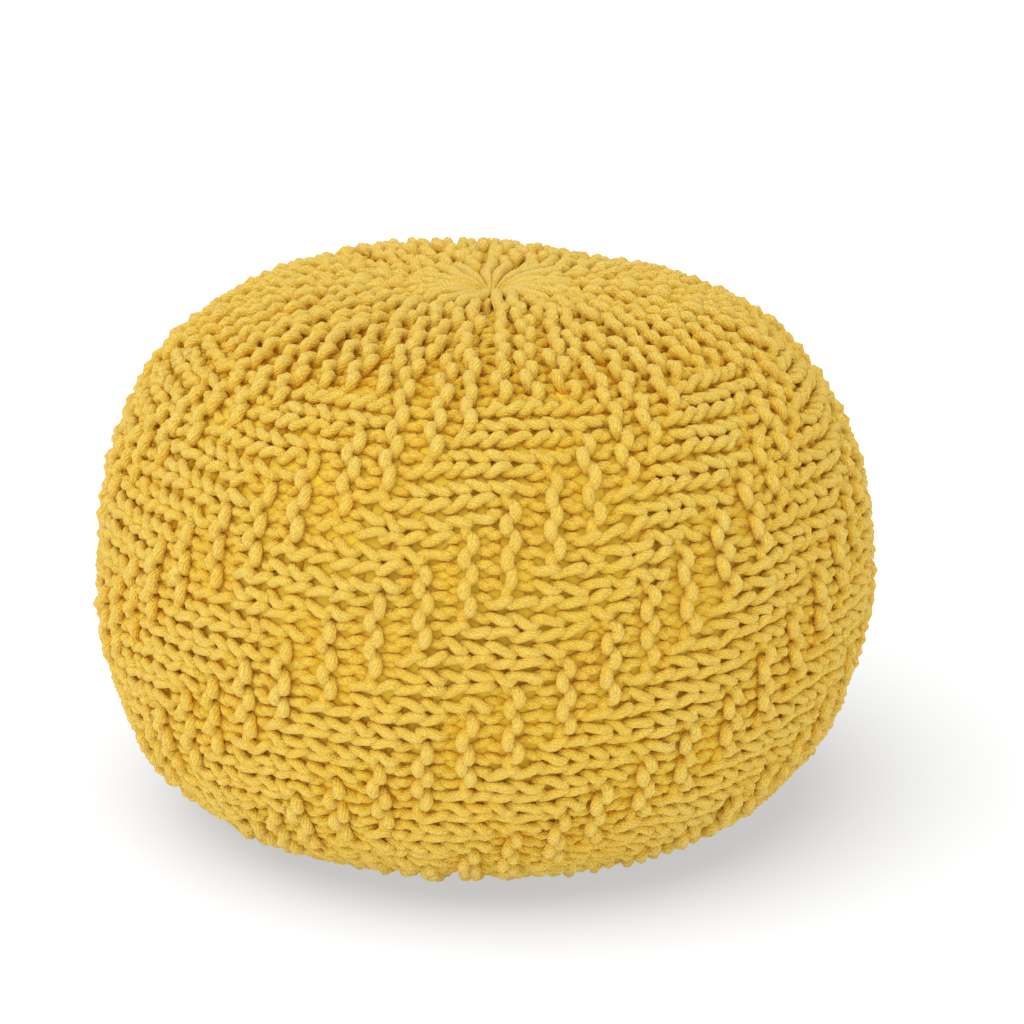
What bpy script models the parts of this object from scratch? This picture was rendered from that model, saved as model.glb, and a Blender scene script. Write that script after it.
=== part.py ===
"""Round knitted pouf: a sideways-knitted cotton cord cover over a filled round bag.

Metres, +Z up. The origin is the middle of the flat underside, and -Y is the front.
An arc is a length along the outline, from the gather on top down to the middle of the foot.
An angle is 0 at the front and grows towards +X.
"""

import math
from bisect import bisect

import bmesh
import bpy
from mathutils import Vector

# Outer reach of the cord
DIAMETER = 0.50165
HEIGHT = 0.34925
WIDEST_HEIGHT = 0.1498

# Outline from the widest line: reach = radius * cos(t) ** reach_power and
# rise = height of that half * sin(t) ** rise_power, with t from 0 to a right angle
CROWN = {"reach_power": 0.534, "rise_power": 0.903}
UNDERSIDE = {"reach_power": 0.357, "rise_power": 1.149}
OUTLINE_STEPS = 300
STEP_CROWDING = 3.0
FOOT_PRESS = 0.0015
GATHER_DIMPLE = 0.004
DIMPLE_WIDTH = 0.035
GATHER_SHIFT = 0.006
SHIFT_WIDTH = 0.090
NORMAL_SPAN = 0.002

# The knitting: rows run from pole to pole, so wales run level around the pouf
GORES = 9
GORE_RIDGES = 6
FIRST_RIDGE_ANGLE = math.radians(4.6)
WALES = 31
FIRST_WALE_ARC = 0.059
SIDE_WALE_PITCH = 0.01825
CAP_WALE_PITCH = 0.022
CROWN_EASE = {"last_wale": 14.0, "wales": 9.0}
FOOT_EASE = {"first_wale": 23.5, "wales": 2.0}
CAP_WALES = 6
PATTERN_WALES = 6
RIDGE_WALES = 3
# Short rows: how many ridges of a gore reach each wale, counted from either pole
SHORT_ROW_RIDGES = (3, 4, 4, 5)
EDGE_RIDGES = 2

# Depths below the outer reach
FIELD_INSET = 0.0035
GROOVE_INSET = 0.007
EDGE_GROOVE_INSET = 0.003
COVER_DEPTH = 0.014
BAG_GAP = 0.0004

# The gathered ends
EYE_RADIUS = 0.007
EDGE_ARC = 0.030
FOOT_DISC_RADIUS = 0.030

# Plain inner surfaces
LINING_COLUMNS = 36
LINING_RINGS = 18

SHARP_ANGLE = math.radians(60)
GORE_ANGLE = 2 * math.pi / GORES
FIRST_GORE_ANGLE = FIRST_RIDGE_ANGLE - GORE_ANGLE / GORE_RIDGES / 2


def linear_colour(hex_code):
    """Linear RGBA of an sRGB hex colour."""
    channels = [int(hex_code[i:i + 2], 16) / 255 for i in (0, 2, 4)]
    linear = [c / 12.92 if c <= 0.04045 else ((c + 0.055) / 1.055) ** 2.4 for c in channels]
    return (*linear, 1.0)


def plain_material(name, hex_code, roughness):
    material = bpy.data.materials.new(name)
    material.use_nodes = True
    shader = material.node_tree.nodes["Principled BSDF"]
    shader.inputs["Base Color"].default_value = linear_colour(hex_code)
    shader.inputs["Roughness"].default_value = roughness
    shader.inputs["Metallic"].default_value = 0.0
    material.diffuse_color = linear_colour(hex_code)
    return material


def ease(share):
    """0 to 1 with a soft start and end."""
    share = min(max(share, 0.0), 1.0)
    return share * share * (3 - 2 * share)


def half_outline(powers, rise):
    """(reach, height over the widest line) from the pole to the widest line."""
    half = []
    for step in range(OUTLINE_STEPS + 1):
        turn = math.pi / 2 * (1 - (step / OUTLINE_STEPS) ** STEP_CROWDING)
        reach = DIAMETER / 2 * max(math.cos(turn), 0.0) ** powers["reach_power"]
        half.append((reach, rise * math.sin(turn) ** powers["rise_power"]))
    return half


def whole_outline():
    """Rows of (arc, reach, height), from the gather on top to the middle of the foot."""
    upper = [(reach, WIDEST_HEIGHT + rise - GATHER_DIMPLE * math.exp(-((reach / DIMPLE_WIDTH) ** 2)))
             for reach, rise in half_outline(CROWN, HEIGHT - WIDEST_HEIGHT)]
    lower = [(reach, max(WIDEST_HEIGHT - fall - FOOT_PRESS, 0.0))
             for reach, fall in half_outline(UNDERSIDE, WIDEST_HEIGHT)]
    rows = [(0.0, *upper[0])]
    for reach, height in upper[1:] + lower[-2::-1]:
        arc, last_reach, last_height = rows[-1]
        rows.append((arc + math.hypot(reach - last_reach, height - last_height), reach, height))
    return rows


OUTLINE = whole_outline()
OUTLINE_ARCS = [row[0] for row in OUTLINE]
WHOLE_ARC = OUTLINE_ARCS[-1]


def outline_at(arc):
    """(reach, height) of the outer reach at that arc."""
    index = min(max(bisect(OUTLINE_ARCS, arc), 1), len(OUTLINE) - 1)
    low, high = OUTLINE[index - 1], OUTLINE[index]
    share = min(max((arc - low[0]) / (high[0] - low[0]), 0.0), 1.0)
    return tuple(a + (b - a) * share for a, b in zip(low[1:], high[1:]))


def point_on_pouf(arc, angle, inset):
    """The point that far below the outer reach, square to it."""
    reach, height = outline_at(arc)
    before, after = outline_at(arc - NORMAL_SPAN), outline_at(arc + NORMAL_SPAN)
    along = Vector((after[0] - before[0], after[1] - before[1])).normalized()
    reach += inset * along.y
    height -= inset * along.x
    shift = GATHER_SHIFT * math.exp(-((reach / SHIFT_WIDTH) ** 2))
    return Vector((reach * math.sin(angle) + shift, -reach * math.cos(angle), height))


def wale_arcs():
    """The arc of each wale's middle; the wales are looser on the crown and under the foot."""
    arcs = [FIRST_WALE_ARC]
    for wale in range(WALES - 1):
        between = wale + 0.5
        loose = max(ease((CROWN_EASE["last_wale"] - between) / CROWN_EASE["wales"]),
                    ease((between - FOOT_EASE["first_wale"]) / FOOT_EASE["wales"]))
        arcs.append(arcs[-1] + SIDE_WALE_PITCH + (CAP_WALE_PITCH - SIDE_WALE_PITCH) * loose)
    return arcs


def ridges_in_gore(wale):
    """How many of a gore's ridges reach this wale."""
    from_pole = min(wale, WALES - 1 - wale)
    return SHORT_ROW_RIDGES[from_pole] if from_pole < len(SHORT_ROW_RIDGES) else GORE_RIDGES


def ridge_stands(wale, ridge):
    """True where a ridge stands proud: all over the caps, and in steps of three wales between."""
    in_cap = min(wale, WALES - 1 - wale) < CAP_WALES
    return in_cap or (wale + ridge) % PATTERN_WALES >= PATTERN_WALES - RIDGE_WALES


def knit_ring(wale):
    """(angle, inset) of one wale: by turns the groove before a ridge, and its crest."""
    count = ridges_in_gore(wale)
    ring = []
    for gore in range(GORES):
        for ridge in range(count):
            here, before = ridge_stands(wale, ridge), ridge_stands(wale, ridge - 1)
            ridge_share = (here + before) / 2
            groove = FIELD_INSET + (GROOVE_INSET - FIELD_INSET) * ridge_share
            start = FIRST_GORE_ANGLE + GORE_ANGLE * (gore + ridge / count)
            ring.append((start, groove))
            ring.append((start + GORE_ANGLE / count / 2, 0.0 if here else FIELD_INSET))
    return ring


def edge_ring(groove_inset):
    """(angle, inset) where only the full rows reach the gather."""
    columns = GORES * EDGE_RIDGES * 2
    return [(FIRST_GORE_ANGLE + 2 * math.pi * i / columns, 0.0 if i % 2 else groove_inset)
            for i in range(columns)]


def plain_ring(inset):
    return [(FIRST_GORE_ANGLE + 2 * math.pi * i / LINING_COLUMNS, inset)
            for i in range(LINING_COLUMNS)]


def add_ring(mesh, arc, ring):
    """The ring's vertices as (angle, vertex), with the first repeated a full turn on."""
    placed = [(angle, mesh.verts.new(point_on_pouf(arc, angle, inset))) for angle, inset in ring]
    return placed + [(placed[0][0] + 2 * math.pi, placed[0][1])]


def join_rings(mesh, upper, lower):
    """Triangles between two rings, which may have different counts."""
    a, b = 0, 0
    while a < len(upper) - 1 or b < len(lower) - 1:
        upper_next = upper[a + 1][0] if a < len(upper) - 1 else math.inf
        lower_next = lower[b + 1][0] if b < len(lower) - 1 else math.inf
        if upper_next <= lower_next:
            mesh.faces.new((upper[a][1], lower[b][1], upper[a + 1][1]))
            a += 1
        else:
            mesh.faces.new((upper[a][1], lower[b][1], lower[b + 1][1]))
            b += 1


def join_all(mesh, rings):
    for upper, lower in zip(rings, rings[1:]):
        join_rings(mesh, upper, lower)


def close_ring(mesh, ring):
    """A flat face across a ring."""
    mesh.faces.new([vertex for _, vertex in ring[:-1]])


def lining_rings(mesh, inset):
    """Plain rings from the eye down to the foot's disc."""
    span = WHOLE_ARC - FOOT_DISC_RADIUS - EYE_RADIUS
    arcs = [EYE_RADIUS + span * i / (LINING_RINGS - 1) for i in range(LINING_RINGS)]
    return [add_ring(mesh, arc, plain_ring(inset)) for arc in arcs]


def finished_object(name, mesh, material, parent):
    bmesh.ops.recalc_face_normals(mesh, faces=mesh.faces)
    data = bpy.data.meshes.new(name)
    mesh.to_mesh(data)
    mesh.free()
    data.shade_smooth()
    data.set_sharp_from_angle(angle=SHARP_ANGLE)
    data.materials.append(material)
    piece = bpy.data.objects.new(name, data)
    bpy.context.scene.collection.objects.link(piece)
    piece.parent = parent
    return piece


def build_knitted_cover(parent):
    """The knitted shell: ridges and fields outside, plain inside, open only at the gather's eye."""
    mesh = bmesh.new()
    outside = [add_ring(mesh, EYE_RADIUS, edge_ring(0.0)),
               add_ring(mesh, EDGE_ARC, edge_ring(EDGE_GROOVE_INSET))]
    outside += [add_ring(mesh, arc, knit_ring(wale)) for wale, arc in enumerate(wale_arcs())]
    outside.append(add_ring(mesh, WHOLE_ARC - FOOT_DISC_RADIUS, edge_ring(0.0)))
    join_all(mesh, outside)
    close_ring(mesh, outside[-1])
    inside = lining_rings(mesh, COVER_DEPTH)
    join_all(mesh, inside)
    close_ring(mesh, inside[-1])
    join_rings(mesh, outside[0], inside[0])
    cord = plain_material("cotton_cord", "D9A93C", 0.9)
    return finished_object("knitted_cover", mesh, cord, parent)


def build_inner_bag(parent):
    """The filled bag, one solid with a crown, that fits the cover all round."""
    mesh = bmesh.new()
    rings = lining_rings(mesh, COVER_DEPTH + BAG_GAP)
    join_all(mesh, rings)
    close_ring(mesh, rings[0])
    close_ring(mesh, rings[-1])
    cloth = plain_material("bag_cloth", "EBD232", 0.8)
    return finished_object("inner_bag", mesh, cloth, parent)


def main():
    for old in list(bpy.data.objects):
        bpy.data.objects.remove(old, do_unlink=True)
    pouf = bpy.data.objects.new("knitted_pouf", None)
    bpy.context.scene.collection.objects.link(pouf)
    build_knitted_cover(pouf)
    build_inner_bag(pouf)


main()
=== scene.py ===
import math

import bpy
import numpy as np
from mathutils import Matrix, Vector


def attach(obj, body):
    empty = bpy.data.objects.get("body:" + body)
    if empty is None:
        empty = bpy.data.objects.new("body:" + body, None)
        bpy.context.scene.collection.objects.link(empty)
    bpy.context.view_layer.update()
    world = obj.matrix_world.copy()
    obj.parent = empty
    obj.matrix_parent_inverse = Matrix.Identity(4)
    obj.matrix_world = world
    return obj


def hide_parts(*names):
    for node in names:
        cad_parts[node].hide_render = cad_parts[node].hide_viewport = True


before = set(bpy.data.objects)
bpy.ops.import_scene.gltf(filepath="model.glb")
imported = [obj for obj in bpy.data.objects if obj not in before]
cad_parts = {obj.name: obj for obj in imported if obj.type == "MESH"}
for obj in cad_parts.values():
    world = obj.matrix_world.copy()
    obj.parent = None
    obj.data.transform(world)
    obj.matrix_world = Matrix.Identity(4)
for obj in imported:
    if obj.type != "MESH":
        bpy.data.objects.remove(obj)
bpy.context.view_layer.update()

# Round knitted pouf. Every stitch of the cover is a real loop of cord, and the filled bag
# shows between the stitches. Metres throughout, and a place on the pouf is given by:
#   arc     the length along the outline, from the gather on top to the middle of the foot
#   along   the same way counted in wales, the level lines of stitches
#   angle   0 at the front, growing towards +X
#   inset   the depth below the outer reach of the cord
#   pole    the shorter of the arcs to the two ends, the gather on top and the middle below

MM = 0.001

# ------------------------------------------------------------------ form, as in the solids
DIAMETER = 0.50165
HEIGHT = 0.34925
WIDEST_HEIGHT = 0.1498
CROWN = {"reach_power": 0.534, "rise_power": 0.903}
UNDERSIDE = {"reach_power": 0.357, "rise_power": 1.149}
OUTLINE_STEPS = 300
STEP_CROWDING = 3.0
FOOT_PRESS = 0.0015
GATHER_DIMPLE = 0.004
DIMPLE_WIDTH = 0.035
GATHER_SHIFT = 0.006
SHIFT_WIDTH = 0.090

# ------------------------------------------------------------------ knitting
GORES = 9
GORE_RIDGES = 6
GORE_ANGLE = 2 * math.pi / GORES
FIRST_RIDGE_ANGLE = math.radians(4.6)
FIRST_GORE_ANGLE = FIRST_RIDGE_ANGLE - GORE_ANGLE / GORE_RIDGES / 2
WALES = 31
FIRST_WALE_ARC = 0.059
SIDE_WALE_PITCH = 0.01825
CAP_WALE_PITCH = 0.022
CROWN_EASE = {"last_wale": 14.0, "wales": 9.0}
FOOT_EASE = {"first_wale": 23.5, "wales": 2.0}
CAP_WALES = 6
PATTERN_WALES = 6
RIDGE_WALES = 3
# The first wale, counted from either pole, that each ridge of a gore reaches. Ridges 0 and 1
# of a gore run on to the gather itself.
FIRST_WALE = (0, 0, 0, 1, 3, 4)
FULL_RIDGES = 2
TURN_WALES = 1.2                # over which a short ridge grows to its full width

CORD_SIDES = 7
STITCH_POINTS = 20
ROW_OFF = 0.25                  # of a ridge's width, from its middle to the middle of a row
RIDGE_LINES = {"least": 2.8 * MM, "of_pitch": 0.22}  # between a ridge's two lines of bumps
LEG_TURNS = (67 / 360, 113 / 360)  # where a loop crosses the loops before and after it
# The parts of a stitch: the depth of the cord's middle below the outer reach, the cord's
# radius, which is less where it is drawn tight, and two shares of a wale: the sway by which
# a loop leans in and out, and the spread of its two legs. The arcs that join a row's loops
# and the heads of the loops lie in front as the bumps of a ridge, or else at the back.
ARC_BUMP = np.array([4.2 * MM, 4.1 * MM, 0.165, 0.0])
HEAD_BUMP = np.array([4.6 * MM, 4.1 * MM, 0.165, 0.0])
LEG_OVER = np.array([5.8 * MM, 3.45 * MM, 0.205, 0.035])
LEG_UNDER = np.array([7.7 * MM, 3.35 * MM, 0.205, 0.035])
LEG_BESIDE_RIDGE = np.array([8.8 * MM, 3.2 * MM, 0.180, 0.0])
TUCKED = np.array([12.0 * MM, 3.0 * MM, 0.180, 0.0])
LEG_ON_CAP = np.array([10.7 * MM, 2.9 * MM, 0.180, 0.0])
TUCKED_ON_CAP = np.array([13.1 * MM, 2.8 * MM, 0.180, 0.0])
BACK = np.array([13.4 * MM, 3.2 * MM, 0.235, 0.0])

# The turn at the end of a short row
HAIRPIN_WALES = 0.32
HAIRPIN_POINTS = 8

# The gather: the two rows of a full ridge end in strands drawn to the middle, the knitted
# row's a little lower than the purled row's. They thin out and sink where they crowd, which
# is given as the cord's radius over the arc.
STRANDS = (
    {"from": BACK, "lean": math.radians(-12.5), "depth": 6.8 * MM, "sink": 4.0 * MM, "crowding": 0.135},
    {"from": ARC_BUMP, "lean": math.radians(-2.5), "depth": 3.7 * MM, "sink": 0.0, "crowding": 0.165})
STRAND_POINTS = 26
STRAND_END = 2.5 * MM           # how far from the middle a strand ends
STRAND_SETTLES = 16 * MM        # over which it takes up its lean and depth
STRAND_SINKS = (0.75, 0.25)     # shares of the gather's arc between which it sinks
UNEVEN_END_SHARES = (0.7, 1.4)
UNEVEN_LEAN_DEGREES = (-2.0, 2.0)
UNEVEN_DEPTH_MM = (-0.7, 0.7)
THINNEST = 0.4 * MM
GATHER_SINK = 5.0 * MM
GATHER_SINK_WIDTH = 9.0 * MM

rng = np.random.default_rng(19)


def ease(share):
    """0 to 1 with a soft start and end."""
    share = np.clip(share, 0.0, 1.0)
    return share * share * (3 - 2 * share)


def bell(distance, width):
    """1 at no distance, falling softly to almost nothing at twice the width."""
    return np.exp(-((distance / width) ** 2))


def half_outline(powers, rise):
    """Reach and height over the widest line, from the pole to the widest line."""
    turn = math.pi / 2 * (1 - (np.arange(OUTLINE_STEPS + 1) / OUTLINE_STEPS) ** STEP_CROWDING)
    reach = DIAMETER / 2 * np.maximum(np.cos(turn), 0.0) ** powers["reach_power"]
    return reach, rise * np.sin(turn) ** powers["rise_power"]


def whole_outline():
    """Arc, reach and height from the gather on top to the middle of the foot."""
    reach, rise = half_outline(CROWN, HEIGHT - WIDEST_HEIGHT)
    upper = WIDEST_HEIGHT + rise - GATHER_DIMPLE * bell(reach, DIMPLE_WIDTH)
    under_reach, fall = half_outline(UNDERSIDE, WIDEST_HEIGHT)
    lower = np.maximum(WIDEST_HEIGHT - fall - FOOT_PRESS, 0.0)
    reach = np.concatenate([reach, under_reach[-2::-1]])
    height = np.concatenate([upper, lower[-2::-1]])
    arc = np.concatenate([[0.0], np.cumsum(np.hypot(np.diff(reach), np.diff(height)))])
    return arc, reach, height


ARC, REACH, OUTLINE_HEIGHT = whole_outline()
WHOLE_ARC = ARC[-1]


def outline_at(arc):
    """Reach and height of the outer reach at an arc."""
    return np.interp(arc, ARC, REACH), np.interp(arc, ARC, OUTLINE_HEIGHT)


def wale_arcs():
    """The arc of each wale's middle; wales are looser on the crown and under the foot."""
    arcs = [FIRST_WALE_ARC]
    for wale in range(WALES - 1):
        between = wale + 0.5
        loose = max(ease((CROWN_EASE["last_wale"] - between) / CROWN_EASE["wales"]),
                    ease((between - FOOT_EASE["first_wale"]) / FOOT_EASE["wales"]))
        arcs.append(arcs[-1] + SIDE_WALE_PITCH + (CAP_WALE_PITCH - SIDE_WALE_PITCH) * loose)
    return np.array(arcs)


WALE_ARCS = wale_arcs()


def arc_of(along):
    """Arc of a place counted in wales; it runs on evenly past the first and last wale."""
    before = np.minimum(along - 0.5, 0.0) * CAP_WALE_PITCH
    after = np.maximum(along - (WALES - 0.5), 0.0) * CAP_WALE_PITCH
    return np.interp(along, np.arange(WALES) + 0.5, WALE_ARCS) + before + after


# ------------------------------------------------------------------ hand-made unevenness
def wavy_field(count, turns, wave, size):
    """A smooth random function of angle and arc that closes around the pouf: the sum of so
    many waves, each a whole number of turns around, none shorter than wave along the arc."""
    around = rng.integers(turns[0], turns[1], count)
    along = rng.uniform(-1, 1, count) * 2 * math.pi / wave
    phase = rng.uniform(0, 2 * math.pi, count)
    share = size * math.sqrt(2 / count)

    def field(angle, arc):
        total = np.zeros_like(angle)
        for a, b, c in zip(around, along, phase):
            total += np.sin(a * angle + b * arc + c)
        return total * share
    return field


# Rows drift slowly, stitches differ from their neighbours, and slubs thicken the cord by shares
drift_side = wavy_field(count=9, turns=(5, 27), wave=0.09, size=1.5 * MM)
drift_along = wavy_field(count=9, turns=(4, 22), wave=0.08, size=1.1 * MM)
drift_depth = wavy_field(count=8, turns=(6, 30), wave=0.07, size=0.7 * MM)
stitch_side = wavy_field(count=14, turns=(30, 85), wave=0.034, size=0.7 * MM)
stitch_along = wavy_field(count=14, turns=(30, 85), wave=0.034, size=0.7 * MM)
stitch_depth = wavy_field(count=14, turns=(30, 85), wave=0.034, size=0.5 * MM)
slub = wavy_field(count=14, turns=(60, 160), wave=0.012, size=0.05)

UNEVEN_REACH = 85 * MM          # within this reach of the poles the unevenness calms down
LEAST_REACH = 20 * MM           # taken where a move to the side becomes an angle
LEAST_DEPTH = 0.9               # of its radius; a cord passes the outer reach by a tenth at most
NORMAL_SPAN = 3 * MM            # on either side of the place whose normal is taken

# The stuffing's own lumps and hollows: angle in degrees, arc, and how far it swells there
LUMPS = ((145, 0.150, -5.0 * MM), (215, 0.150, 2.0 * MM), (90, 0.330, 4.5 * MM),
         (90, 0.590, -5.0 * MM), (-90, 0.210, 1.5 * MM), (-90, 0.500, 3.0 * MM))
LUMP_ANGLE = math.radians(34)
LUMP_ARC = 0.070


def swell(angle, arc):
    """How far the lumps lift the surface."""
    total = np.zeros_like(angle)
    for degrees, middle, size in LUMPS:
        across = (angle - math.radians(degrees) + math.pi) % (2 * math.pi) - math.pi
        total += size * np.exp(-((across / LUMP_ANGLE) ** 2) - ((arc - middle) / LUMP_ARC) ** 2)
    return total


def place(arc, angle, inset):
    """Points that far below the outer reach, and the outward normals there."""
    inset = inset - swell(angle, arc)
    reach, height = outline_at(arc)
    reach_before, height_before = outline_at(arc - NORMAL_SPAN)
    reach_after, height_after = outline_at(arc + NORMAL_SPAN)
    run = np.hypot(reach_after - reach_before, height_after - height_before)
    out_reach = -(height_after - height_before) / run
    out_height = (reach_after - reach_before) / run
    reach = reach - inset * out_reach
    height = height - inset * out_height
    shift = GATHER_SHIFT * bell(reach, SHIFT_WIDTH)
    points = np.stack([reach * np.sin(angle) + shift, -reach * np.cos(angle), height], -1)
    normals = np.stack([out_reach * np.sin(angle), -out_reach * np.cos(angle), out_height], -1)
    return points, normals


# ------------------------------------------------------------------ the path of the cord
def ridge_shares(along):
    """How much of its full width each ridge of a gore has at a place, from 0 to 1."""
    from_pole = np.minimum(along, WALES - along)
    shares = [np.ones_like(along)] * FULL_RIDGES
    for first in FIRST_WALE[FULL_RIDGES:]:
        shares.append(ease((from_pole - first + TURN_WALES) / TURN_WALES))
    return np.array(shares)


def middle_angle(gore, ridge, along, off):
    """Angle of a ridge's line; off is counted in ridge widths from the ridge's middle."""
    shares = ridge_shares(along)
    before = shares[:ridge].sum(0) + shares[ridge] * (0.5 + off)
    return FIRST_GORE_ANGLE + GORE_ANGLE * (gore + before / shares.sum(0))


def row_pitch(along):
    """Width of one row of stitches."""
    return GORE_ANGLE / (2 * ridge_shares(along).sum(0)) * outline_at(arc_of(along))[0]


def ridge_lines(along):
    """Distance between the two lines of bumps of a ridge; narrower where the rows crowd."""
    return RIDGE_LINES["least"] + RIDGE_LINES["of_pitch"] * row_pitch(along)


def in_cap(wale):
    """True on the crown and on the underside."""
    return min(wale, WALES - 1 - wale) < CAP_WALES


def ridge_stands(wale, ridge):
    """True where a ridge stands proud: all over the caps, and in steps of three wales between."""
    return in_cap(wale) or (wale + ridge) % PATTERN_WALES >= PATTERN_WALES - RIDGE_WALES


def eased_between(at, knots, parts):
    """Runs softly from one part of a stitch to the next."""
    index = np.clip(np.searchsorted(knots, at, side="right") - 1, 0, len(knots) - 2)
    share = ease((at - knots[index]) / (knots[index + 1] - knots[index]))
    return parts[index] + (parts[index + 1] - parts[index]) * share[:, None]


def row_course(ridge, wales, purl_row):
    """The places and parts of one row's stitches. The first row of a ridge is knitted, the
    second purled where the ridge stands, which brings its joining arcs and the first row's
    heads to the front."""
    knots, parts = [], []
    stood = ridge_stands(wales[0], ridge)
    first, second = LEG_TURNS
    for wale in wales:
        stands = ridge_stands(wale, ridge)
        forward = (stands + stood) / 2 if purl_row else 0.0
        joint = BACK + (ARC_BUMP - BACK) * forward
        lower, upper = (LEG_BESIDE_RIDGE, TUCKED) if stands else (LEG_UNDER, LEG_OVER)
        if in_cap(wale):
            lower, upper = LEG_ON_CAP, TUCKED_ON_CAP
        if stands and purl_row:
            lower, upper = upper, lower
        head = HEAD_BUMP if stands and not purl_row else BACK
        knots += [wale, wale + first, wale + second]
        knots += [wale + 0.5, wale + 1 - second, wale + 1 - first]
        parts += [joint, lower, upper, head, upper, lower]
        stood = stands
    knots.append(wales[-1] + 1)
    parts.append(ARC_BUMP if purl_row and stood else BACK)
    return np.array(knots, float), np.array(parts)


def row_path(gore, ridge, purl_row):
    """(along, angle, inset, radius) of one row of loops, from its first wale to its last."""
    first = FIRST_WALE[ridge]
    wales = list(range(first, WALES - first))
    even = np.arange(len(wales) * STITCH_POINTS + 1) / STITCH_POINTS + first
    turn = 2 * math.pi * even
    inset, radius, sway, spread = eased_between(even, *row_course(ridge, wales, purl_row)).T
    along = even + sway * np.sin(2 * turn) - spread * np.sin(turn)
    side = -(row_pitch(even) + ridge_lines(even)) / 2 * np.cos(turn)
    angle = middle_angle(gore, ridge, even, ROW_OFF if purl_row else -ROW_OFF)
    angle = angle + side / outline_at(arc_of(even))[0]
    return along, angle, inset, radius


def row_ends(ridge):
    """Where the knitted and the purled row of a ridge end, beside the ridge's middle."""
    edge = np.array([float(FIRST_WALE[ridge])])
    half = ridge_lines(edge)[0] / 2
    return -row_pitch(edge)[0] - half, -half


def hairpin(ridge):
    """(out in wales, side, inset, radius) of the turn at the end of a short row."""
    start, end = row_ends(ridge)
    way = (np.arange(HAIRPIN_POINTS) + 1) / (HAIRPIN_POINTS + 1)
    out = HAIRPIN_WALES * np.sin(math.pi * way)
    over = ease(way)
    inset, radius, _, _ = BACK[:, None] + (ARC_BUMP - BACK)[:, None] * over
    return out, start + (end - start) * over, inset, radius


def gather_strands(ridge):
    """(out in wales, side, inset, radius) of the two long strands of a full ridge, the
    knitted row's to the middle of the gather and the purled row's back from it."""
    edge_arc = arc_of(np.zeros(1))[0]
    sinks_from, sinks_to = STRAND_SINKS
    paths = []
    for strand, start in zip(STRANDS, row_ends(ridge)):
        end = STRAND_END * rng.uniform(*UNEVEN_END_SHARES)
        lean = strand["lean"] + math.radians(rng.uniform(*UNEVEN_LEAN_DEGREES))
        depth = strand["depth"] + rng.uniform(*UNEVEN_DEPTH_MM) * MM
        way = (np.arange(STRAND_POINTS) + 0.5) / STRAND_POINTS
        arc = edge_arc + (end - edge_arc) * way
        settled = ease((edge_arc - arc) / STRAND_SETTLES)
        side = start * (1 - settled) + lean * arc * settled
        edge_inset, cord_radius, _, _ = strand["from"]
        inset = edge_inset + (depth - edge_inset) * settled
        inset = inset + strand["sink"] * ease((arc / edge_arc - sinks_from) / (sinks_to - sinks_from))
        radius = np.minimum(cord_radius, arc * strand["crowding"] + THINNEST)
        paths.append(np.array([(edge_arc - arc) / CAP_WALE_PITCH, side, inset, radius]))
    return np.concatenate([paths[0], paths[1][:, ::-1]], axis=1)


def end_path(gore, ridge, at_top):
    """(along, angle, inset, radius) from the knitted row round to the purled row."""
    full = ridge < FULL_RIDGES
    out, side, inset, radius = gather_strands(ridge) if full else hairpin(ridge)
    along = FIRST_WALE[ridge] - out
    reach = outline_at(arc_of(along))[0]
    if not at_top:
        along = WALES - along
    return along, middle_angle(gore, ridge, along, 0.0) + side / reach, inset, radius


def ridge_path(gore, ridge):
    """The closed path of one ridge's cord: up the knitted row, over, and down the purled row."""
    up = [part[::-1] for part in row_path(gore, ridge, False)]
    down = row_path(gore, ridge, True)
    top = end_path(gore, ridge, True)
    foot = [part[::-1] for part in end_path(gore, ridge, False)]
    return [np.concatenate(parts) for parts in zip(up, top, down, foot)]


def cord_line(gore, ridge):
    """Points, normals, radii and insets of one ridge's cord, with its unevenness."""
    along, angle, inset, radius = ridge_path(gore, ridge)
    arc = arc_of(along)
    reach = np.maximum(outline_at(arc)[0], LEAST_REACH)
    calm = ease(reach / UNEVEN_REACH)
    sideways = (drift_side(angle, arc) + stitch_side(angle, arc)) * calm
    lengthways = (drift_along(angle, arc) + stitch_along(angle, arc)) * calm
    inset = inset + (drift_depth(angle, arc) + stitch_depth(angle, arc)) * calm
    radius = radius * (1 + slub(angle, arc))
    angle = angle + sideways / reach
    arc = arc + lengthways
    pole = np.minimum(arc, WHOLE_ARC - arc)
    inset = inset + GATHER_SINK * bell(pole, GATHER_SINK_WIDTH)
    inset = np.maximum(inset, LEAST_DEPTH * radius)
    points, normals = place(arc, angle, inset)
    points[:, 2] = np.maximum(points[:, 2], radius)
    return points, normals, radius, inset


# ------------------------------------------------------------------ meshes
def unit(vectors):
    """The same directions at length 1."""
    return vectors / np.linalg.norm(vectors, axis=1)[:, None]


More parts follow.
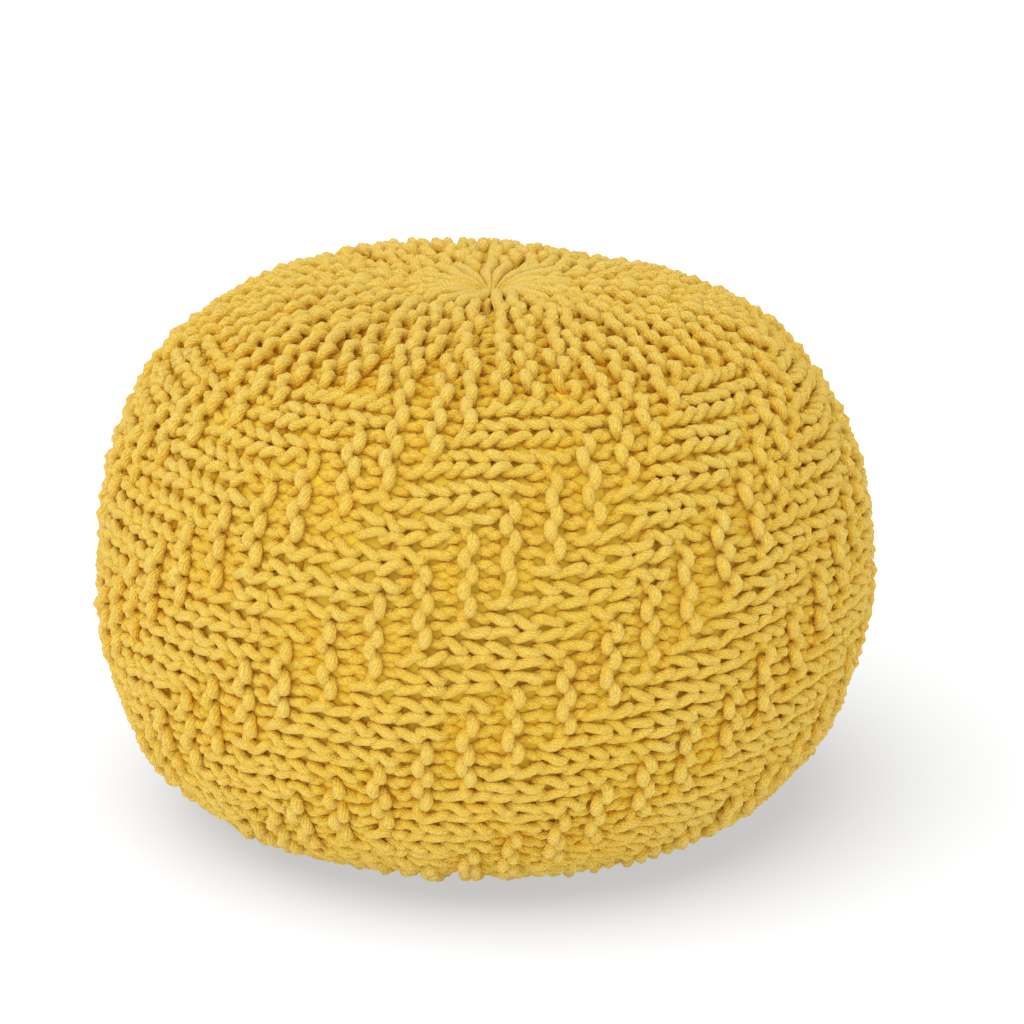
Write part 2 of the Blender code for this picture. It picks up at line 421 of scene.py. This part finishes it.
def tube(points, normals, radius, inset):
    """Rings around a closed line: vertices, faces, and for each corner its (length in mm,
    turn) and its (depth in mm, 0)."""
    tangent = unit(np.roll(points, -1, 0) - np.roll(points, 1, 0))
    across = unit(np.cross(tangent, normals))
    up = np.cross(across, tangent)
    turn = 2 * math.pi * np.arange(CORD_SIDES) / CORD_SIDES
    ring = np.cos(turn)[:, None] * across[:, None] + np.sin(turn)[:, None] * up[:, None]
    vertices = points[:, None] + radius[:, None, None] * ring
    count = len(points)
    rows, sides = np.meshgrid(np.arange(count), np.arange(CORD_SIDES), indexing="ij")
    next_side = (sides + 1) % CORD_SIDES
    here, beyond = rows * CORD_SIDES, (rows + 1) % count * CORD_SIDES
    faces = np.stack([here + sides, beyond + sides, beyond + next_side, here + next_side], -1)
    step = np.linalg.norm(np.roll(points, -1, 0) - points, axis=1)
    length = np.concatenate([[0.0], np.cumsum(step)]) / MM
    low, high = length[:-1][rows], length[1:][rows]
    first_turn, last_turn = sides / CORD_SIDES, (sides + 1) / CORD_SIDES
    lengths = np.stack([low, high, high, low], -1)
    turns = np.stack([first_turn, first_turn, last_turn, last_turn], -1)
    corners = np.stack([lengths, turns], -1)
    depth = (inset[:, None] - radius[:, None] * np.sin(turn)).ravel()[faces] / MM
    depths = np.stack([depth, np.zeros_like(depth)], -1)
    return [part.reshape(-1, part.shape[-1]) for part in (vertices, faces, corners, depths)]


def mesh_object(name, vertices, faces, maps, material):
    """A smooth-shaded object from arrays, with its UV maps by name."""
    mesh = bpy.data.meshes.new(name)
    sides = faces.shape[1]
    mesh.vertices.add(len(vertices))
    mesh.vertices.foreach_set("co", vertices.astype(np.float32).ravel())
    mesh.loops.add(faces.size)
    mesh.loops.foreach_set("vertex_index", faces.astype(np.int32).ravel())
    mesh.polygons.add(len(faces))
    mesh.polygons.foreach_set("loop_start", np.arange(len(faces), dtype=np.int32) * sides)
    mesh.update(calc_edges=True)
    mesh.validate()
    mesh.shade_smooth()
    for map_name, corners in maps.items():
        layer = mesh.uv_layers.new(name=map_name)
        layer.data.foreach_set("uv", corners.astype(np.float32).ravel())
    mesh.materials.append(material)
    piece = bpy.data.objects.new(name, mesh)
    bpy.context.scene.collection.objects.link(piece)
    return piece


def knit_gore(gore, material):
    """One ninth of the cover: six ridges, twelve rows of loops."""
    tubes = [tube(*cord_line(gore, ridge)) for ridge in range(GORE_RIDGES)]
    vertices, faces, corners, depths = zip(*tubes)
    starts = np.cumsum([0] + [len(part) for part in vertices[:-1]])
    faces = np.concatenate([part + start for part, start in zip(faces, starts)])
    maps = {"cord": np.concatenate(corners), "depth": np.concatenate(depths)}
    return mesh_object(f"knit_gore_{gore + 1}", np.concatenate(vertices), faces, maps, material)


# The bag's cloth: how deep it lies, how much closer it stands under the gathers, how much
# deeper it lies under the thicker knitting of the caps, and how it is drawn in at the poles
BAG_COLUMNS = 144
BAG_ROWS = 96
BAG_DEPTH = 11.0 * MM
BAG_RISE = {"height": 2.0 * MM, "width": 55 * MM}
BAG_LOW = {"depth": 2.2 * MM, "pole": 115 * MM, "width": 55 * MM}
BAG_DIMPLE = {"depth": 11 * MM, "width": 13 * MM}
BAG_SMOOTH_ARC = 60 * MM        # its creases fade out over this, towards the poles
bag_crease = wavy_field(count=10, turns=(7, 31), wave=0.05, size=0.7 * MM)


def bag_inset(arc, angle):
    """How deep the bag's cloth lies."""
    pole = np.minimum(arc, WHOLE_ARC - arc)
    inset = BAG_DEPTH + np.abs(bag_crease(angle, arc)) * ease(pole / BAG_SMOOTH_ARC)
    inset = inset - BAG_RISE["height"] * bell(pole, BAG_RISE["width"])
    inset = inset + BAG_LOW["depth"] * bell(pole - BAG_LOW["pole"], BAG_LOW["width"])
    return inset + BAG_DIMPLE["depth"] * bell(pole, BAG_DIMPLE["width"])


def bag_faces(rings):
    """Triangles between the rings, and from the outer rings to the two poles, which follow
    the rings' vertices."""
    rows, columns = np.meshgrid(np.arange(rings - 1), np.arange(BAG_COLUMNS), indexing="ij")
    right = (columns + 1) % BAG_COLUMNS
    here, below = rows * BAG_COLUMNS, (rows + 1) * BAG_COLUMNS
    halves = ((here + columns, below + columns, below + right),
              (here + columns, below + right, here + right))
    walls = [np.stack(corners, -1).reshape(-1, 3) for corners in halves]
    ring = np.arange(BAG_COLUMNS)
    around = (ring + 1) % BAG_COLUMNS
    last = (rings - 1) * BAG_COLUMNS
    pole = np.full(BAG_COLUMNS, rings * BAG_COLUMNS)
    top = np.stack([pole, ring, around], -1)
    foot = np.stack([pole + 1, last + around, last + ring], -1)
    return np.concatenate([*walls, top, foot])


def bag_surface(material):
    """The filled bag's cloth, softly creased, just inside the knitting."""
    arc = np.linspace(0.0, WHOLE_ARC, BAG_ROWS + 1)
    angle = 2 * math.pi * np.arange(BAG_COLUMNS) / BAG_COLUMNS
    arcs, angles = np.meshgrid(arc[1:-1], angle, indexing="ij")
    points, _ = place(arcs, angles, bag_inset(arcs, angles))
    pole_inset = BAG_DEPTH - BAG_RISE["height"] + BAG_DIMPLE["depth"]
    poles, _ = place(arc[[0, -1]], np.zeros(2), np.full(2, pole_inset))
    vertices = np.concatenate([points.reshape(-1, 3), poles])
    faces = bag_faces(len(arc) - 2)
    flat = np.stack([arcs, angles * DIAMETER / 2], -1).reshape(-1, 2) / MM
    flat = np.concatenate([flat, np.zeros((2, 2))])
    maps = {"cloth": flat[faces].reshape(-1, 2)}
    return mesh_object("bag_cloth_surface", vertices, faces, maps, material)


# ------------------------------------------------------------------ materials
WHITE = "FFFFFF"


def linear(hex_code):
    """Linear RGBA of an sRGB hex colour."""
    channels = [int(hex_code[i:i + 2], 16) / 255 for i in (0, 2, 4)]
    return (*[c / 12.92 if c <= 0.04045 else ((c + 0.055) / 1.055) ** 2.4 for c in channels], 1.0)


def add(tree, kind, inputs=(), **settings):
    """Adds a node with its settings; an input is a value, or a socket to link."""
    node = tree.nodes.new(kind)
    for name, value in settings.items():
        setattr(node, name, value)
    for key, value in dict(inputs).items():
        if isinstance(value, bpy.types.NodeSocket):
            tree.links.new(value, node.inputs[key])
        else:
            node.inputs[key].default_value = value
    return node


def new_material(name, values):
    """A material, its nodes, and its shader with the values that are the same all over."""
    material = bpy.data.materials.new(name)
    material.use_nodes = True
    shader = material.node_tree.nodes["Principled BSDF"]
    for socket, value in values.items():
        shader.inputs[socket].default_value = value
    return material, material.node_tree, shader


YARNS = 9                       # small soft yarns that the cord is laid from
LAY_MM = 30.0                   # along the cord for one yarn to go once round
YARN_TOP = 0.7                  # of a yarn's height, above which it is flat and so looks broad
YARN_WANDER = 9.0               # radians by which the tufts push the yarns' lines aside
CORD_RADIUS_MM = 3.3            # a usual one, which the tufts' size around the cord is taken from
TUFT_MM = 1.5                   # size of a tuft of fibre around the cord
TUFT_STRETCH_MM = 3.0           # length drawn like one radius, which makes tufts a little shorter
NUB_MM = 1.05                   # curled fibre ends; real ones are half this, too fine to show
NUB_SHARE = 0.6                 # of the fibres' roughness; the rest of it is tufts
YARN_SHARE = 0.11               # of the yarns' roundness, on top of that roughness
FIBRE_RELIEF = 3.0 * MM
FIBRE_SHEEN = "FFF6DC"
DYE_PATCH_MM = 100 / 3          # where the dye took more or less
DYE_UNEVENNESS = 0.2
SHADE_AND_DYE_HEIGHTS = (0.53, 0.78)        # heights between which the colour turns from the lines' painted shade to the yarns' painted highlight, with dye patches
# Painted shade in the low places of the fibres and between the yarns, painted highlight on the raised
# places, mixed with random dye patches:
LINE_DYE_AND_PAINTED_SHADE = "FFC20E"
YARN_DYE_AND_PAINTED_HIGHLIGHT = "FFDC3C"
# Painted highlight and painted shade: the outer cord is painted paler, most on top of its yarns, and the
# deepest cord is painted a deeper orange.
# Depths are in mm below the outer reach.
DEEP_SHADE_DEPTHS = (9.5, 13.5)
DEEP_SHADE_SHARE = 0.7
PAINTED_DEEP_SHADE = "FFA806"
PAINTED_HIGHLIGHT_DEPTHS = (9.0, 0.0)
PAINTED_HIGHLIGHT_ON_LINES = 0.35              # how far the painted highlight reaches the lines between the yarns, beside their tops
PAINTED_HIGHLIGHT_SHARE = 0.56
PAINTED_HIGHLIGHT_COLOUR = "FEE68C"


def soft_cotton_cord():
    """Soft cotton cord, laid from many carded yarns and coloured by piece dyeing: matte and a little
    fuzzy, with fine slanting lines where the yarns meet and patches where the dye took more or less. Its
    colour also carries painted shade, darker and more orange in the lines between the yarns, in the low
    places of the fibres and in the depths of the knitting, and painted highlight, paler on the outer
    cord and on the tops of its yarns."""
    material, tree, shader = new_material("soft_cotton_cord", {
        "Roughness": 0.9, "Specular IOR Level": 0.5, "Sheen Weight": 0.15,
        "Sheen Roughness": 0.5, "Sheen Tint": linear(FIBRE_SHEEN)})
    uv = add(tree, "ShaderNodeUVMap", uv_map="cord").outputs["UV"]
    split = add(tree, "ShaderNodeSeparateXYZ", {0: uv})
    lay = add(tree, "ShaderNodeMath", {0: split.outputs["X"], 1: LAY_MM}, operation="DIVIDE")
    turn = add(tree, "ShaderNodeMath", {0: split.outputs["Y"], 1: lay.outputs[0]}, operation="ADD")
    angle = add(tree, "ShaderNodeMath", {0: turn.outputs[0], 1: 2 * math.pi}, operation="MULTIPLY")
    cosine = add(tree, "ShaderNodeMath", {0: angle.outputs[0]}, operation="COSINE")
    sine = add(tree, "ShaderNodeMath", {0: angle.outputs[0]}, operation="SINE")
    length = add(tree, "ShaderNodeMath", {0: split.outputs["X"], 1: TUFT_STRETCH_MM}, operation="DIVIDE")
    along_yarn = add(tree, "ShaderNodeCombineXYZ",
                     {"X": length.outputs[0], "Y": cosine.outputs[0], "Z": sine.outputs[0]})
    tufts = add(tree, "ShaderNodeTexNoise",
                {"Vector": along_yarn.outputs[0], "Scale": CORD_RADIUS_MM / TUFT_MM,
                 "Detail": 3.0, "Roughness": 0.7})
    yarns = add(tree, "ShaderNodeMath", {0: angle.outputs[0], 1: float(YARNS)}, operation="MULTIPLY")
    wander = add(tree, "ShaderNodeMath",
                 {0: tufts.outputs[0], 1: YARN_WANDER, 2: yarns.outputs[0]}, operation="MULTIPLY_ADD")
    wave = add(tree, "ShaderNodeMath", {0: wander.outputs[0]}, operation="SINE")
    crest = add(tree, "ShaderNodeMapRange",
                {"Value": wave.outputs[0], "From Min": -1.0, "From Max": YARN_TOP})
    place_in = add(tree, "ShaderNodeTexCoord").outputs["Object"]
    nubs = add(tree, "ShaderNodeTexNoise",
               {"Vector": place_in, "Scale": 1 / (NUB_MM * MM), "Detail": 1.0, "Roughness": 0.6})
    dye = add(tree, "ShaderNodeTexNoise",
              {"Vector": place_in, "Scale": 1 / (DYE_PATCH_MM * MM), "Detail": 3.0, "Roughness": 0.6})
    rough = add(tree, "ShaderNodeMix",
                {"Factor": NUB_SHARE, "A": tufts.outputs[0], "B": nubs.outputs[0]}, data_type="FLOAT")
    height = add(tree, "ShaderNodeMath",
                 {0: crest.outputs[0], 1: YARN_SHARE, 2: rough.outputs["Result"]},
                 operation="MULTIPLY_ADD")
    uneven = add(tree, "ShaderNodeMath",
                 {0: dye.outputs[0], 1: DYE_UNEVENNESS, 2: height.outputs[0]}, operation="MULTIPLY_ADD")
    # Painted shade and painted highlight: the colour follows the height of the fibres and yarns, darker
    # where low and paler where high, with random dye patches mixed in.
    raised = add(tree, "ShaderNodeMapRange",
                 {"Value": uneven.outputs[0], "From Min": SHADE_AND_DYE_HEIGHTS[0], "From Max": SHADE_AND_DYE_HEIGHTS[1]})
    dye_and_painted_shade = add(tree, "ShaderNodeMix",
               {"Factor": raised.outputs[0], "A": linear(LINE_DYE_AND_PAINTED_SHADE), "B": linear(YARN_DYE_AND_PAINTED_HIGHLIGHT)},
               data_type="RGBA")
    depth_map = add(tree, "ShaderNodeUVMap", uv_map="depth").outputs["UV"]
    depth = add(tree, "ShaderNodeSeparateXYZ", {0: depth_map}).outputs["X"]
    # Painted shade: the cord deep in the knitting is painted a darker orange.
    deep_shade = add(tree, "ShaderNodeMapRange",
                    {"Value": depth, "From Min": DEEP_SHADE_DEPTHS[0], "From Max": DEEP_SHADE_DEPTHS[1],
                     "To Max": DEEP_SHADE_SHARE})
    with_deep_shade = add(tree, "ShaderNodeMix",
                {"Factor": deep_shade.outputs[0], "A": dye_and_painted_shade.outputs["Result"], "B": linear(PAINTED_DEEP_SHADE)},
                data_type="RGBA")
    # Painted highlight: the outer cord is painted paler, most on the tops of its yarns.
    outer = add(tree, "ShaderNodeMapRange",
                {"Value": depth, "From Min": PAINTED_HIGHLIGHT_DEPTHS[0], "From Max": PAINTED_HIGHLIGHT_DEPTHS[1]})
    highlight_by_height = add(tree, "ShaderNodeMapRange", {"Value": raised.outputs[0], "To Min": PAINTED_HIGHLIGHT_ON_LINES})
    highlight_mask = add(tree, "ShaderNodeMath",
               {0: outer.outputs[0], 1: highlight_by_height.outputs[0]}, operation="MULTIPLY")
    painted_highlight = add(tree, "ShaderNodeMapRange", {"Value": highlight_mask.outputs[0], "To Max": PAINTED_HIGHLIGHT_SHARE})
    colour = add(tree, "ShaderNodeMix",
                 {"Factor": painted_highlight.outputs[0], "A": with_deep_shade.outputs["Result"], "B": linear(PAINTED_HIGHLIGHT_COLOUR)},
                 data_type="RGBA")
    bump = add(tree, "ShaderNodeBump",
               {"Height": height.outputs[0], "Strength": 1.0, "Distance": FIBRE_RELIEF})
    tree.links.new(colour.outputs["Result"], shader.inputs["Base Color"])
    tree.links.new(bump.outputs[0], shader.inputs["Normal"])
    return material


THREAD_MM = 1.1                 # real threads are 0.4 mm apart; drawn coarser so that they show
THREAD_RELIEF = 0.2 * MM
CLOTH_PATCH_MM = 40.0           # where the cloth's two shades change
CLOTH_SHADES = ("F8E24A", "F6DA3A")


def woven_bag_cloth():
    """Plain-woven cotton bag cloth: even, smoother and brighter than the cord, with a fine
    grid of threads."""
    material, tree, shader = new_material("woven_bag_cloth", {
        "Roughness": 0.8, "Specular IOR Level": 0.3, "Sheen Weight": 0.1})
    uv = add(tree, "ShaderNodeUVMap", uv_map="cloth").outputs["UV"]
    split = add(tree, "ShaderNodeSeparateXYZ", {0: uv})
    waves = []
    for axis in ("X", "Y"):
        phase = add(tree, "ShaderNodeMath",
                    {0: split.outputs[axis], 1: 2 * math.pi / THREAD_MM}, operation="MULTIPLY")
        waves.append(add(tree, "ShaderNodeMath", {0: phase.outputs[0]}, operation="SINE").outputs[0])
    weave = add(tree, "ShaderNodeMath", {0: waves[0], 1: waves[1]}, operation="MULTIPLY")
    place_in = add(tree, "ShaderNodeTexCoord").outputs["Object"]
    patch = add(tree, "ShaderNodeTexNoise",
                {"Vector": place_in, "Scale": 1 / (CLOTH_PATCH_MM * MM), "Detail": 2.0})
    first, second = [linear(shade) for shade in CLOTH_SHADES]
    colour = add(tree, "ShaderNodeMix",
                 {"Factor": patch.outputs[0], "A": first, "B": second}, data_type="RGBA")
    bump = add(tree, "ShaderNodeBump",
               {"Height": weave.outputs[0], "Strength": 0.3, "Distance": THREAD_RELIEF})
    tree.links.new(colour.outputs["Result"], shader.inputs["Base Color"])
    tree.links.new(bump.outputs[0], shader.inputs["Normal"])
    return material


TABLE_GLOW = 0.53
TABLE_CLOUD_MM = 1000 / 3       # where the acrylic's two shades change
TABLE_SHADES = ("5C5C5C", "5A5A5A")


def opal_acrylic_table():
    """A studio table of cast opal acrylic, lit from below: matte, and its own even glow keeps
    the shadows on it pale and free of colour."""
    material, tree, shader = new_material("opal_acrylic_table", {
        "Roughness": 0.95, "Specular IOR Level": 0.1,
        "Emission Color": linear(WHITE), "Emission Strength": TABLE_GLOW})
    place_in = add(tree, "ShaderNodeTexCoord").outputs["Object"]
    cloud = add(tree, "ShaderNodeTexNoise",
                {"Vector": place_in, "Scale": 1 / (TABLE_CLOUD_MM * MM), "Detail": 2.0})
    first, second = [linear(shade) for shade in TABLE_SHADES]
    colour = add(tree, "ShaderNodeMix",
                 {"Factor": cloud.outputs[0], "A": first, "B": second}, data_type="RGBA")
    tree.links.new(colour.outputs["Result"], shader.inputs["Base Color"])
    return material


# ------------------------------------------------------------------ stage, light and camera
FLOOR_SIZE = 40.0
CAMERA_DISTANCE = 2.5
CAMERA_ELEVATION = math.radians(19.16)
FOCAL_PIXELS = 3880.4
FRAME_PIXELS = 1024
AIM_PIXEL = (481.8, 538.2)      # where the middle of the pouf stands in the photograph
SENSOR_MM = 36.0
KEY = {"source": (-1.24, -1.55, 1.95), "softness": math.radians(60), "strength": 0.96}
TABLE_LAMP = {"source": (-0.6, -0.6, 2.4), "softness": math.radians(70), "strength": 14.0}
SKY_STRENGTH = 0.93
LIGHT_BOUNCES = 10              # the deep gaps are lit by what the yellow cords pass on


def add_floor(material):
    """The level table that the pouf stands on."""
    half = FLOOR_SIZE / 2
    mesh = bpy.data.meshes.new("floor")
    mesh.from_pydata([(-half, -half, 0), (half, -half, 0), (half, half, 0), (-half, half, 0)],
                     [], [(0, 1, 2, 3)])
    mesh.materials.append(material)
    floor = bpy.data.objects.new("floor", mesh)
    bpy.context.scene.collection.objects.link(floor)
    return floor


def aim(thing, target):
    """Turns a lamp or a camera towards a point."""
    direction = Vector(target) - thing.location
    thing.rotation_euler = direction.to_track_quat("-Z", "Y").to_euler()


def add_soft_sun(name, source, softness, strength):
    """A broad, soft source that lights the whole floor evenly."""
    light = bpy.data.lights.new(name, "SUN")
    light.angle = softness
    light.energy = strength
    lamp = bpy.data.objects.new(name, light)
    lamp.location = source
    aim(lamp, (0, 0, 0))
    bpy.context.scene.collection.objects.link(lamp)
    return lamp


def light_only(lamp, lit):
    """Keeps a lamp's light to one object; the others still cast their shadow in it."""
    receivers = bpy.data.collections.new(f"{lamp.name}_receivers")
    receivers.objects.link(lit)
    lamp.light_linking.receiver_collection = receivers


def add_camera():
    """The camera at the photograph's viewing angle, shifted to frame the pouf as it does."""
    camera = bpy.data.cameras.new("camera")
    camera.sensor_width = SENSOR_MM
    camera.lens = FOCAL_PIXELS / FRAME_PIXELS * SENSOR_MM
    camera.shift_x = (FRAME_PIXELS / 2 - AIM_PIXEL[0]) / FRAME_PIXELS
    camera.shift_y = (AIM_PIXEL[1] - FRAME_PIXELS / 2) / FRAME_PIXELS
    stand = bpy.data.objects.new("camera", camera)
    stand.location = (0, -CAMERA_DISTANCE * math.cos(CAMERA_ELEVATION),
                      HEIGHT / 2 + CAMERA_DISTANCE * math.sin(CAMERA_ELEVATION))
    aim(stand, (0, 0, HEIGHT / 2))
    bpy.context.scene.collection.objects.link(stand)
    bpy.context.scene.camera = stand


def add_world():
    """Even white light from all round."""
    world = bpy.data.worlds.new("studio")
    world.use_nodes = True
    sky = world.node_tree.nodes["Background"]
    sky.inputs["Color"].default_value = linear(WHITE)
    sky.inputs["Strength"].default_value = SKY_STRENGTH
    bpy.context.scene.world = world


# ------------------------------------------------------------------ the whole
cord = soft_cotton_cord()
for gore in range(GORES):
    panel = knit_gore(gore, cord)
    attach(panel, "root")
    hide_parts("knitted_cover")

bag = bag_surface(woven_bag_cloth())
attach(bag, "root")
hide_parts("inner_bag")

table = add_floor(opal_acrylic_table())
add_world()
add_soft_sun("key", **KEY)
light_only(add_soft_sun("table_lamp", **TABLE_LAMP), table)
add_camera()
bpy.context.scene.view_settings.view_transform = "Standard"
bpy.context.scene.cycles.diffuse_bounces = LIGHT_BOUNCES
